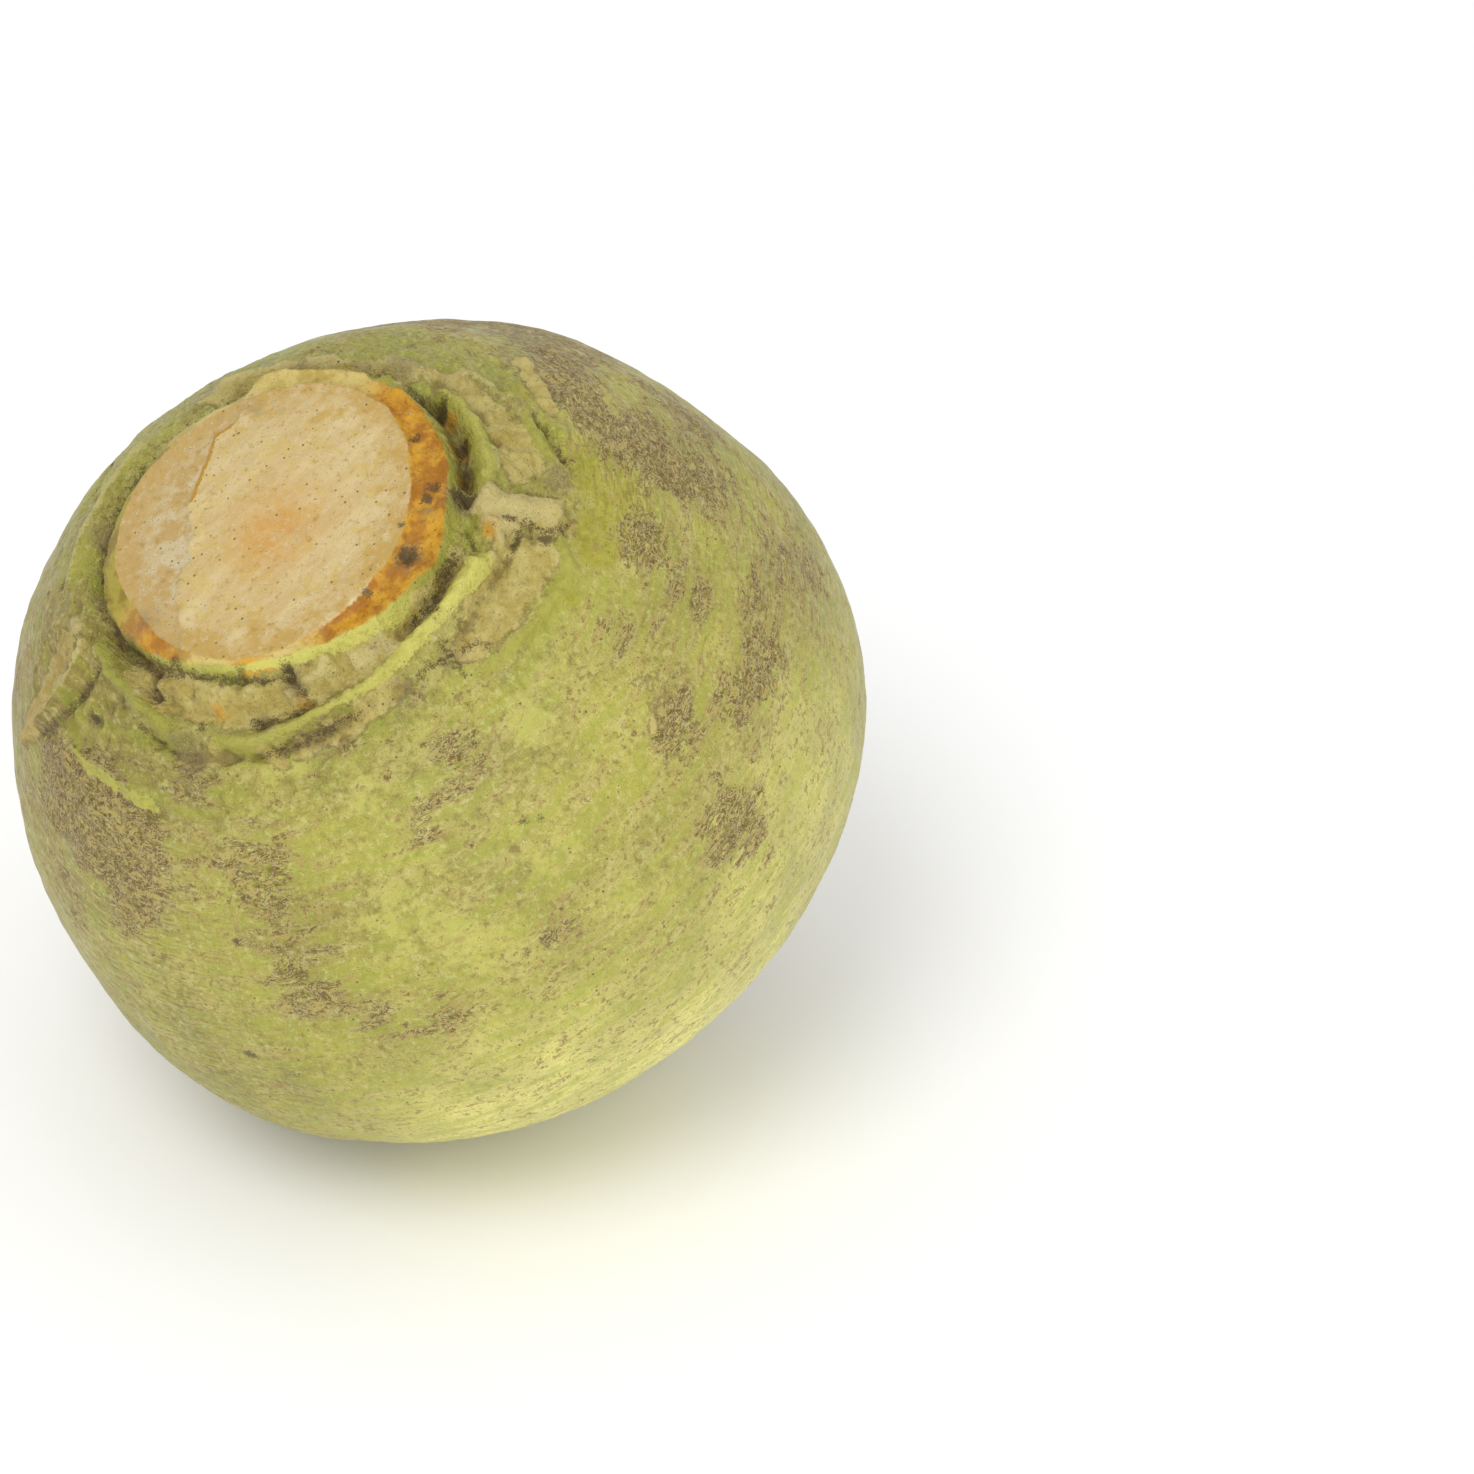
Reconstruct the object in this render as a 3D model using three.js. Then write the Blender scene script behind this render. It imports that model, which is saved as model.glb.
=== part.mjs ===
// A whole kohlrabi: one slightly flattened globe with a cut crown. It grew as one piece, so it is one solid.
// The crown is a short neck cut flat across, with rings of old leaf scars round it. A trimmed root scar
// closes the other end. The globe leans over and rests on a small flat spot pressed into its flank.
//
// Frame: millimetres, +Z up. The origin is on the resting surface, under the middle of the object's box.
// The globe is shaped upright first, crown on +Z of its own axes, and the mesh's rotation then leans it.
// Places on the globe are given by turn (degrees round the crown axis, from +X towards +Y) and by
// fall (degrees down from the crown), and on the crown by turn and radius (millimetres from the axis).

import * as THREE from "three";
import { mergeVertices } from "three/addons/utils/BufferGeometryUtils.js";

// Driving dimensions
const GIRTH_RADIUS = 60; // greatest radius, at right angles to the crown axis
const HALF_HEIGHT = 54.8; // from the middle to the crown or the root end
const LEAN = 30; // how far the crown axis tips from upright
const LEAN_TURN = 223; // the direction that the crown tips in
const FLAT_DEPTH = 1.6; // how deep the resting spot is pressed in

const NECK = { height: 55.5, top: 21.9, foot: 25.4, groove: 26.4, grooveDepth: 1.3, grooveWidth: 0.9 };
const SHOULDER = { rise: 2.4, inner: 27, outer: 45 }; // swollen ring that carries the leaf scars
const ROOT = { height: 56.6, top: 5.2, foot: 9.5 }; // trimmed root scar

// Broad swells and hollows of the globe: turn, fall, height and reach
const SWELLS = [
  { turn: 158, fall: 53, height: 2.0, reach: 26 },
  { turn: 120, fall: 47, height: 0.8, reach: 18 },
  { turn: 8, fall: 110, height: 1.4, reach: 24 },
  { turn: 292, fall: 133, height: -2.0, reach: 30 },
  { turn: 41, fall: 79, height: -1.4, reach: 16 },
  { turn: 206, fall: 86, height: -0.7, reach: 20 },
  { turn: 250, fall: 122, height: -0.8, reach: 14 },
];

// Raised edges of the old leaf scars: each a curve of [turn, radius] with its height and half width
const SCAR_EDGES = [
  { height: 1.4, width: 2.0, points: [[192, 27.2], [212, 28], [230, 29.6], [243, 31.4]] },
  { height: 1.5, width: 2.0, points: [[250, 31], [262, 31.2], [280, 30.6], [300, 30.2], [318, 29.6], [334, 30]] },
  { height: 1.7, width: 2.0, points: [[357, 28.2], [6, 29.8], [20, 29.4], [36, 28.2]] },
  { height: 1.2, width: 1.9, points: [[46, 28.4], [64, 27.2], [84, 27.2], [110, 29]] },
  { height: 1.2, width: 1.9, points: [[128, 29], [150, 29.6], [176, 30.6]] },
  { height: 1.1, width: 2.0, points: [[318, 37.2], [328, 38.6], [338, 39.2], [347, 38.2]] },
  { height: 1.3, width: 2.0, points: [[3, 37], [14, 36.2], [28, 35.2], [42, 32.4]] },
  { height: 2.6, width: 2.6, points: [[354, 28], [350, 31], [350, 34], [351, 37.4]] },
];

const SPHERE_DETAIL = 19; // how finely the starting sphere is divided
const CROWN_DENSITY = 0.52; // below 1, draws the faces together towards the crown
const EDGE_STEPS = 24; // samples along each scar edge

const radians = THREE.MathUtils.degToRad;
const smoothstep = THREE.MathUtils.smoothstep;

function direction(turn, fall) {
  return new THREE.Vector3(
    Math.sin(radians(fall)) * Math.cos(radians(turn)),
    Math.sin(radians(fall)) * Math.sin(radians(turn)),
    Math.cos(radians(fall)),
  );
}

const swells = SWELLS.map((s) => ({ ...s, at: direction(s.turn, s.fall) }));

const scarEdges = SCAR_EDGES.map((edge) => {
  const corners = edge.points.map(
    ([turn, radius]) => new THREE.Vector3(radius * Math.cos(radians(turn)), radius * Math.sin(radians(turn)), 0),
  );
  return { ...edge, path: new THREE.CatmullRomCurve3(corners).getPoints(EDGE_STEPS) };
});

// Slides a point of the unit sphere towards the crown without bending the angles between faces.
function drawnToCrown(point) {
  const fall = 2 * Math.atan(CROWN_DENSITY * Math.tan(Math.acos(THREE.MathUtils.clamp(point.z, -1, 1)) / 2));
  const turn = Math.atan2(point.y, point.x);
  return new THREE.Vector3(Math.sin(fall) * Math.cos(turn), Math.sin(fall) * Math.sin(turn), Math.cos(fall));
}

// The globe with its swells, as a point for each direction.
function globePoint(dir) {
  let scale = 1;
  for (const { at, height, reach } of swells) {
    const angle = THREE.MathUtils.radToDeg(dir.angleTo(at));
    scale += (height / HALF_HEIGHT) * Math.exp(-((angle / reach) ** 2));
  }
  return new THREE.Vector3(GIRTH_RADIUS * dir.x, GIRTH_RADIUS * dir.y, HALF_HEIGHT * dir.z).multiplyScalar(scale);
}

// Raises the shoulder, the scar edges and the neck, and lays the cut across its top.
function shapeCrown(point) {
  const radius = Math.hypot(point.x, point.y);
  point.z += SHOULDER.rise * (1 - smoothstep(radius, SHOULDER.inner, SHOULDER.outer));
  for (const { path, height, width } of scarEdges) {
    const away = Math.min(...path.map((p) => Math.hypot(point.x - p.x, point.y - p.y)));
    point.z += height * Math.exp(-((away / width) ** 2));
  }
  point.z -= NECK.grooveDepth * Math.exp(-(((radius - NECK.groove) / NECK.grooveWidth) ** 2));
  point.z = THREE.MathUtils.lerp(NECK.height, point.z, smoothstep(radius, NECK.top, NECK.foot));
}

// Draws the tail out to the trimmed root scar.
function shapeRoot(point) {
  const radius = Math.hypot(point.x, point.y);
  point.z = THREE.MathUtils.lerp(-ROOT.height, point.z, smoothstep(radius, ROOT.top, ROOT.foot));
}

function kohlrabiGeometry(down) {
  const sphere = new THREE.IcosahedronGeometry(1, SPHERE_DETAIL);
  sphere.deleteAttribute("normal");
  sphere.deleteAttribute("uv");
  const geometry = mergeVertices(sphere, 1e-4);
  const position = geometry.getAttribute("position");
  const points = [];
  for (let i = 0; i < position.count; i++) {
    const point = globePoint(drawnToCrown(new THREE.Vector3().fromBufferAttribute(position, i).normalize()));
    if (point.z > 0) shapeCrown(point);
    else shapeRoot(point);
    points.push(point);
  }
  // The resting spot: what reaches past this depth is pressed back to one plane.
  const floor = Math.max(...points.map((p) => p.dot(down))) - FLAT_DEPTH;
  points.forEach((point, i) => {
    const past = point.dot(down) - floor;
    if (past > 0) point.addScaledVector(down, -past);
    position.setXYZ(i, point.x, point.y, point.z);
  });
  geometry.computeVertexNormals();
  return geometry;
}

const skin = new THREE.MeshStandardMaterial({ color: 0xb6b85e, roughness: 0.6, metalness: 0 });

const tipAxis = new THREE.Vector3(-Math.sin(radians(LEAN_TURN)), Math.cos(radians(LEAN_TURN)), 0);
const lean = new THREE.Quaternion().setFromAxisAngle(tipAxis, radians(LEAN));
const downInGlobe = new THREE.Vector3(0, 0, -1).applyQuaternion(lean.clone().invert());

const kohlrabi = new THREE.Mesh(kohlrabiGeometry(downInGlobe), skin);
kohlrabi.name = "kohlrabi";
kohlrabi.quaternion.copy(lean);

// Stand the leaning globe on z = 0, with the middle of its box over the origin.
const box = new THREE.Box3().setFromObject(kohlrabi, true);
const middle = box.getCenter(new THREE.Vector3());
kohlrabi.position.set(-middle.x, -middle.y, -box.min.z);

const root = new THREE.Group();
root.add(kohlrabi);

export default root;
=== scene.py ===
"""A whole kohlrabi with a cut crown, lying on its flank on a pale floor.

The globe is shaped upright in its own axes, in millimetres, then leaned and set on the floor.
A place on it is a turn, degrees round the crown's axis from own +X towards own +Y, and a fall,
degrees down from the middle of the crown. Near the crown one degree of fall is about 1 mm.
"""

import math

import bpy
import numpy as np
from mathutils import Matrix, Vector, noise


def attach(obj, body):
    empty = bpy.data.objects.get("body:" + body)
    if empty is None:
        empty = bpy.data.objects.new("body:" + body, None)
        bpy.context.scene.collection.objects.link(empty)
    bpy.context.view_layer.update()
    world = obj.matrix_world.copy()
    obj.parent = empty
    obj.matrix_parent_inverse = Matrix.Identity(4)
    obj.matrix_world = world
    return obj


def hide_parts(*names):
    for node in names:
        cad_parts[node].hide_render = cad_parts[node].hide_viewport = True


MM = 0.001

# The globe, as the CAD part has it.
GIRTH_RADIUS = 60.0
HALF_HEIGHT = 54.8
LEAN = 30.0
LEAN_TURN = 223.0
FLAT_DEPTH = 1.6
SHOULDER = {"rise": 2.4, "inner": 27.0, "outer": 45.0}
ROOT = {"height": 56.6, "top": 5.2, "foot": 9.5}
SWELLS = [  # turn, fall, height, reach in degrees
    (158, 53, 2.0, 26),
    (120, 47, 0.8, 18),
    (8, 110, 1.4, 24),
    (292, 133, -2.0, 30),
    (41, 79, -1.4, 16),
    (206, 86, -0.7, 20),
    (250, 122, -0.8, 14),
]

# The mesh: triangles along one edge of the starting solid, and how much finer the crown is.
SPHERE_STEPS = 96
CROWN_DENSITY = 0.5

# The neck's outline: turn, disc edge radius, rim radius, rim height, foot radius, foot height.
DISC_HEIGHT = 55.4
NECK_OUTLINE = [
    (0, 21.2, 25.8, 53.2, 27.4, 50.0),
    (30, 22.0, 25.0, 53.4, 27.0, 50.2),
    (60, 21.8, 24.2, 53.8, 26.4, 50.5),
    (90, 21.4, 24.4, 54.0, 26.6, 50.6),
    (120, 22.0, 24.0, 53.6, 26.4, 50.2),
    (150, 22.9, 24.3, 53.8, 27.2, 49.8),
    (180, 22.2, 24.8, 53.6, 26.8, 49.8),
    (210, 20.8, 24.0, 53.4, 25.8, 50.2),
    (235, 21.4, 22.6, 54.8, 27.5, 50.6),
    (260, 22.6, 23.0, 55.0, 29.0, 50.2),
    (285, 22.4, 23.6, 54.6, 28.6, 50.2),
    (305, 22.0, 25.0, 53.6, 28.0, 49.8),
    (330, 21.8, 26.6, 52.6, 28.2, 49.6),
]
NECK_BLEND = 4.5  # from the neck's foot out to the plain shoulder

# Raised edges of old leaf scars: height, half width, line of (turn, fall).
RIDGES = [
    (1.5, 1.2, [(197, 27.4), (210, 28.1), (219, 28.4), (229, 29.4), (236, 30.7), (242, 31.6)]),
    (1.7, 1.5, [(336, 31.6), (328, 30.3), (321, 29.7), (313, 29.5), (304, 30)]),
    (1.4, 0.9, [(306, 29.9), (293, 30.3), (283, 30.4), (272, 30.8), (260, 31.6), (250, 31.2)]),
    (1.9, 1.5, [(36, 28.2), (27, 29), (19, 29.4), (7, 29.9), (1, 29.8), (357, 28.2)]),
    (1.4, 0.8, [(97, 24), (86, 23.6), (77, 23), (65, 23.2), (55, 23.9), (46, 25.2), (36, 27)]),
    (1.5, 1.1, [(41, 32.6), (34, 34.4), (28, 35.9), (22, 36.8), (14, 37), (7, 38), (2, 38.6)]),
    (1.2, 1.0, [(347, 39.5), (341, 41), (335, 40.7), (328, 39.8), (321, 38.6)]),
    (1.4, 1.2, [(110, 30), (98, 28.4), (80, 27.2), (64, 27.2), (52, 28.6), (44, 31)]),
    (1.2, 1.2, [(128, 29), (142, 29.6), (155, 29.8), (167, 31), (178, 31.6)]),
    (1.4, 1.0, [(194, 28.6), (197, 32.4), (196, 37.8), (193, 45.1), (189, 53.1)]),
    (1.0, 0.9, [(181, 36), (184, 32.4), (188, 30.2), (193, 28.8)]),
    (0.8, 0.9, [(42, 44), (29, 42), (24, 41)]),
    (0.6, 0.8, [(20, 40), (13, 40), (30, 46)]),
    (0.8, 0.9, [(208, 40.5), (223, 39), (232, 40)]),
    (1.3, 0.9, [(338, 27.2), (334, 28.8), (335, 31.4), (340, 32.6), (345, 31.6), (347, 29)]),
    (1.2, 1.3, [(290, 25.4), (280, 26.2), (272, 27.4)]),
    (0.9, 1.5, [(266, 25.4), (252, 26), (242, 25.6)]),
    (1.2, 1.8, [(307, 27.2), (300, 27.4), (292, 27)]),
    (0.8, 1.0, [(229, 24.6), (226, 27), (222, 28)]),
]
# A swollen corky finger across the ring: height, half width, line.
FINGER = (2.7, 2.9, [(354, 28.2), (350, 31.2), (350, 33.8), (351, 36.4), (351, 39.4)])
# Grooves between them: depth, half width, line.
GROOVES = [
    (1.6, 0.9, [
        (140, 27.5), (150, 27.4), (159, 27.4), (169, 27), (179, 26.2),
        (190, 25.6), (202, 25.4), (214, 24.6), (224, 23.6),
    ]),
    (1.7, 1.2, [(42, 26), (30, 27), (18, 27.2), (6, 27.2), (356, 27)]),
    (1.2, 0.9, [(136, 41), (145, 38), (151, 37)]),
    (0.8, 0.8, [(200, 38.4), (207, 38.4), (213, 38.6)]),
    (1.2, 0.8, [(336, 27.4), (328, 27.6), (319, 27.8), (311, 27.6), (304, 28)]),
    (1.0, 0.9, [(352, 41), (346, 34.4), (338, 33.4), (328, 33.2), (318, 33.4), (306, 32.6)]),
    (1.3, 0.9, [(226, 31.6), (238, 33.4), (250, 33), (262, 33.2), (274, 32.6), (288, 32.2)]),
    (1.3, 0.9, [(98, 26), (86, 25.2), (74, 25), (62, 25.2), (50, 26.4)]),
    (0.9, 0.8, [(44, 30.4), (32, 31), (20, 31.6), (8, 31.8)]),
    (1.2, 0.7, [(39, 33.8), (32, 35.9), (26, 37.4), (20, 38.2), (12, 39.4), (5, 40.5)]),
    (0.9, 0.7, [(205, 28), (203, 34), (200, 40), (196, 46)]),
    (0.9, 0.8, [(346, 28.2), (347, 32), (348, 35.2), (348, 38.6)]),
    (1.0, 0.6, [(262, 30), (272, 29.4), (280, 29)]),
    (1.0, 0.8, [(274, 24.6), (276, 26), (278, 27.6)]),
    (1.0, 0.8, [(223, 24.8), (226, 26.4), (230, 28)]),
    (1.0, 0.6, [(207, 24.9), (221, 24.6), (236, 23.8), (253, 23.8), (263, 24.6), (270, 24.8)]),
]
# Pits: turn, fall, depth, radius.
PITS = [
    (104, 25.4, 2.4, 1.9),
    (31, 27.5, 1.8, 1.2),
    (14, 27.5, 1.6, 1.3),
    (352, 27.4, 1.2, 1.2),
    (17, 22.2, 0.5, 0.6),
    (354, 23.6, 0.6, 0.7),
    (350, 23.1, 0.5, 0.6),
    (338, 20.9, 0.4, 0.5),
    (328, 23.2, 0.9, 1.2),
    (310, 21.3, 0.5, 0.7),
    (318, 29, 0.6, 0.6),
    (260, 23.3, 0.5, 0.6),
    (233, 22.2, 0.5, 0.7),
    (225, 25.6, 0.8, 1.0),
    (275, 24.1, 0.9, 0.9),
    (262, 29.3, 0.6, 0.7),
    (246, 29.6, 0.6, 0.8),
    (341, 29.4, 1.0, 1.0),
    (170, 35, 0.7, 0.8),
    (147, 34, 0.8, 0.9),
    (211, 35, 0.8, 0.9),
]

# Paint lines: name of the mask, half width at start and end, line.
GREEN_LINES = [  # with how pale and yellow the edge is, 0 to 1
    (0.9, 1.1, 0.5, [(316, 26), (307, 25.5), (296, 24.7), (287, 23.9), (277, 23.3), (267, 22.9), (257, 22.8)]),
    (0.5, 0.4, 0.35, [(257, 22.8), (246, 22.8), (235, 23), (225, 23.2), (214, 24)]),
    (0.3, 0.8, 1.3, [(197, 27.4), (210, 28.1), (219, 28.4), (229, 29.4), (236, 30.7), (242, 31.6)]),
    (1.0, 1.7, 1.5, [(336, 31.4), (328, 30.2), (321, 29.6), (313, 29.4), (306, 29.9)]),
    (0.9, 1.4, 0.5, [(308, 29.8), (300, 30.1), (293, 30.3), (284, 30.4)]),
    (0.5, 0.5, 0.9, [(286, 30.4), (272, 30.8), (260, 31.6), (250, 31.2)]),
    (0.5, 0.7, 2.0, [(38, 28), (27, 29), (19, 29.4), (7, 29.6), (1, 29.4), (357, 28.2)]),
    (0.1, 0.4, 0.9, [(97, 24), (86, 23.6), (77, 23), (65, 23.2), (55, 23.9), (46, 25.2)]),
    (0.35, 0.6, 1.2, [(48, 33), (41, 33.4), (34, 35), (28, 36.3), (22, 37), (14, 37.2), (7, 38)]),
    (0.4, 0.9, 0.9, [(347, 39.5), (341, 41.1), (335, 40.9), (328, 40.1), (321, 39), (313, 38)]),
    (0.1, 0.7, 0.8, [(198, 37), (203, 39), (209, 40)]),
    (0.6, 0.9, 0.9, [(208, 41), (216, 40.5), (226, 40), (235, 40.5)]),
    (0.3, 0.5, 0.7, [(48, 24.7), (30, 24.7), (10, 25.1), (354, 25.7), (337, 26.4), (325, 26.1), (314, 24.9)]),
    (0.2, 0.7, 0.7, [(347, 28.6), (344, 28), (341, 28.6), (338, 30.2)]),
    (0.3, 0.6, 0.5, [(262, 33.6), (258, 32.6), (254, 32)]),
]
TAN_LINES = [  # half width at start and end, line
    (2.6, 2.4, [(346, 37), (338, 36.8), (330, 36), (322, 35.6), (314, 34.5)]),
    (2.0, 3.0, [(44, 30.6), (32, 31.6), (20, 33), (10, 34), (2, 34)]),
    (2.4, 3.2, [(354, 27.4), (352, 29), (349, 31.6), (350, 33.8), (351, 36.4), (351, 39.6)]),
    (3.2, 2.6, [(189, 32.4), (191, 40), (190, 50)]),
    (1.8, 1.8, [(112, 29), (98, 27.4), (80, 26.4), (60, 26.6), (46, 28.6)]),
    (2.2, 1.6, [(336, 27), (320, 27.6), (305, 27.8)]),
    (2.6, 2.8, [(305, 27.2), (290, 26.6), (275, 27), (260, 27.4), (245, 26.6), (230, 26.4), (215, 26.4)]),
    (1.4, 1.2, [(240, 33.8), (251, 32.6), (258, 31.8), (263, 32.6), (267, 34.4)]),
    (1.6, 1.4, [(300, 32.4), (285, 32.8), (270, 33.4)]),
    (1.2, 1.2, [(42, 44), (32, 41.6), (22, 41)]),
    (1.6, 1.2, [(322, 32.6), (334, 33.4), (345, 32.6)]),
    (0.4, 0.3, [(330, 56.5), (327, 58.5), (324, 60.5)]),
    (0.3, 0.3, [(327, 58.5), (331, 60)]),
]
# Near-black along the grooves: partly their own dark, partly painted shade.
DARK_LINES_AND_GROOVE_SHADE = [
    (0.39, 0.55, [(137, 27.2), (146, 27.2), (154, 27.6)]),
    (0.33, 0.5, [(158, 27.4), (169, 27), (179, 26.2)]),
    (0.28, 0.33, [(183, 26), (192, 25.6), (202, 25.4), (214, 24.6), (224, 23.6), (236, 23.6)]),
    (0.39, 0.44, [(42, 26), (36, 26.8), (28, 27.2)]),
    (0.33, 0.33, [(10, 27.2), (2, 27), (355, 27)]),
    (0.5, 0.39, [(136, 41), (145, 38), (151, 37)]),
    (0.25, 0.39, [(336, 27.4), (328, 27.6), (319, 27.8), (311, 27.6)]),
    (0.19, 0.25, [(226, 31.6), (238, 33.2)]),
    (0.19, 0.28, [(262, 33.2), (274, 32.6), (288, 32.2)]),
    (0.33, 0.39, [(98, 26), (86, 25.2), (74, 25), (62, 25.4), (52, 26.8)]),
    (0.28, 0.28, [(39, 33.8), (32, 35.9), (26, 37.4), (20, 38.2), (12, 39.4), (5, 40.5)]),
    (0.22, 0.28, [(204, 30), (202, 35), (199, 40), (195, 46)]),
    (0.28, 0.28, [(347, 32), (347.5, 35.2), (348, 38.6), (352, 40)]),
    (0.33, 0.17, [(313, 32), (312, 34), (311, 36.6)]),
    (0.28, 0.17, [(312, 34), (308, 33.2), (304, 33)]),
    (0.28, 0.17, [(311, 33.6), (316, 34.6), (319, 37)]),
    (0.28, 0.28, [(262, 30), (270, 29.6), (277, 29.2)]),
    (0.28, 0.28, [(343, 27.8), (340, 28.8), (338, 30.2)]),
    (0.22, 0.22, [(346, 34.4), (340, 34)]),
    (0.3, 0.3, [(207, 24.9), (221, 24.6), (236, 23.7), (253, 23.8), (263, 24.6), (270, 24.8)]),
    (0.4, 0.3, [(274, 24.6), (276, 26), (278, 27.6)]),
    (0.3, 0.5, [(223, 24.8), (226, 26.4), (230, 28)]),
]
# Near-black spots, many of them in the pits: partly their own dark, partly painted shade.
DARK_SPOTS_AND_PIT_SHADE = [  # turn, fall, radius
    (101, 24.4, 2.0),
    (31, 27.5, 1.2),
    (15, 27.6, 0.9),
    (353, 27.0, 1.4),
    (17, 22.2, 0.6),
    (354, 23.6, 0.8),
    (350, 22.8, 0.7),
    (338, 20.9, 0.4),
    (328, 23.2, 1.4),
    (310, 21.8, 0.6),
    (318, 29, 0.5),
    (260, 23.3, 0.6),
    (233, 22.6, 0.7),
    (275, 24.1, 0.8),
    (262, 29.3, 0.6),
    (246, 29.6, 0.6),
    (235, 23.4, 0.8),
    (170, 35, 0.8),
    (147, 34, 0.9),
    (154, 34, 0.6),
    (210, 35, 0.8),
    (346, 37.6, 0.8),
    (301, 55, 0.55),
    (303, 56, 0.35),
    (293, 71, 0.4),
    (288, 97, 0.5),
    (246, 77, 0.9),
    (250, 57, 0.6),
    (296, 42, 0.4),
    (303, 43, 0.4),
    (60, 36, 0.5),
    (190, 52, 0.4),
    (200, 60, 0.4),
]
DIRT_PATCHES = [  # turn, fall, reach in mm, weight
    (243, 33.6, 2.6, 1.0),
    (353, 26.8, 1.8, 1.0),
    (227, 26.8, 1.8, 0.9),
    (276, 26.2, 2.0, 1.0),
    (264, 29.6, 2.2, 0.8),
    (328, 23.2, 2.4, 0.9),
    (345, 23.2, 2.0, 0.5),
    (302, 27.5, 1.6, 0.6),
    (318, 28.0, 1.8, 0.7),
    (2, 38.6, 2.2, 1.0),
    (50, 28.6, 2.6, 1.0),
    (62, 27.4, 2.2, 0.8),
    (82, 25.6, 2.0, 0.9),
    (346, 36.4, 1.8, 0.6),
    (240, 31.6, 1.6, 0.8),
    (160, 27.4, 2.4, 0.9),
    (182, 26.4, 1.8, 0.8),
    (209, 24.4, 2.0, 0.7),
    (312, 34.2, 2.2, 0.8),
    (300, 33.0, 2.4, 0.6),
    (276, 33.2, 2.0, 0.7),
    (213, 20.0, 2.6, 0.6),
    (230, 20.5, 2.2, 0.4),
    (95, 19.0, 2.6, 0.5),
    (78, 17.0, 3.0, 0.35),
    (100, 12.0, 3.2, 0.3),
    (350, 27.0, 1.5, 0.7),
    (22, 36.5, 1.8, 0.7),
    (210, 35.5, 1.6, 0.8),
]
AMBER_PATCHES = [
    (25, 27.4, 1.7, 1.0),
    (12, 27.2, 1.7, 1.0),
    (2, 26.8, 1.3, 0.8),
    (344, 31.0, 1.3, 1.0),
    (47, 23.8, 1.4, 1.0),
    (263, 22.9, 1.5, 1.0),
    (270, 23.2, 1.2, 1.0),
    (252, 27.6, 1.6, 0.7),
    (276, 28.4, 1.4, 0.6),
    (226, 28.4, 1.2, 0.7),
    (292, 22.4, 1.6, 0.6),
]
SCURF_PATCHES = [  # turn, fall, reach in mm, weight
    (327, 63, 6, 0.9),
    (337, 71, 5, 0.8),
    (288, 47, 4, 0.6),
    (300, 43, 4, 0.7),
    (323, 80, 6, 0.7),
    (276, 73, 5, 0.6),
    (244, 35, 3.2, 1.0),
    (257, 49, 9, 0.8),
    (259, 64, 6, 0.8),
    (267, 72, 4, 0.6),
    (221, 47, 8, 0.9),
    (231, 43, 5, 0.7),
    (208, 47, 7, 0.8),
    (39, 50, 7, 0.8),
    (23, 45, 4, 0.8),
    (12, 53, 7, 0.8),
    (8, 63, 6, 0.7),
    (354, 50, 4, 0.7),
    (2, 74, 6, 0.6),
    (4, 82, 6, 0.6),
    (344, 73, 5, 0.7),
    (23, 65, 8, 0.8),
    (336, 49, 4, 0.6),
    (283, 34, 3, 0.7),
    (346, 59, 5, 0.7),
    (212, 63, 5, 0.6),
    (231, 54, 6, 0.7),
    (16, 49, 5, 0.7),
    (9, 56, 5, 0.8),
    (33, 46, 5, 0.8),
    (351, 51, 4, 0.6),
    (351, 69, 5, 0.6),
    (215, 45, 6, 0.7),
    (230, 47, 6, 0.7),
    (204, 48, 6, 0.8),
    (295, 71, 4, 0.6),
    (321, 79, 5, 0.6),
    (50, 60, 12, 0.8),
    (70, 55, 12, 0.7),
    (180, 60, 14, 0.5),
    (150, 60, 14, 0.5),
    (100, 75, 18, 0.5),
    (60, 120, 22, 0.5),
    (170, 110, 20, 0.4),
    (0, 165, 16, 0.7),
]
FRESH_PATCHES = [  # turn, fall, reach in mm, weight
    (7, 43, 4, 1.0),
    (3, 49, 4, 0.9),
    (352, 44, 3, 1.0),
    (10, 45, 3, 0.9),
    (356, 46, 4, 1.0),
    (348, 44, 3, 0.9),
    (336, 42, 3, 0.7),
    (30, 39, 3, 0.6),
    (52, 41, 3, 0.6),
    (214, 39, 2.5, 0.6),
]
PALE_PATCHES = [
    (313, 46, 3.5, 0.9),
    (278, 57, 8, 0.7),
    (253, 43, 4, 0.7),
    (280, 40, 5, 0.7),
    (306, 74, 6, 0.5),
    (284, 67, 5, 0.6),
    (331, 88, 8, 0.6),
    (255, 34, 1.6, 0.9),
    (263, 35, 2.0, 1.0),
    (270, 34.5, 1.8, 0.9),
    (325, 43, 5, 0.5),
    (296, 40, 4, 0.7),
    (262, 92, 8, 0.5),
    (300, 60, 6, 0.5),
]
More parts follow.
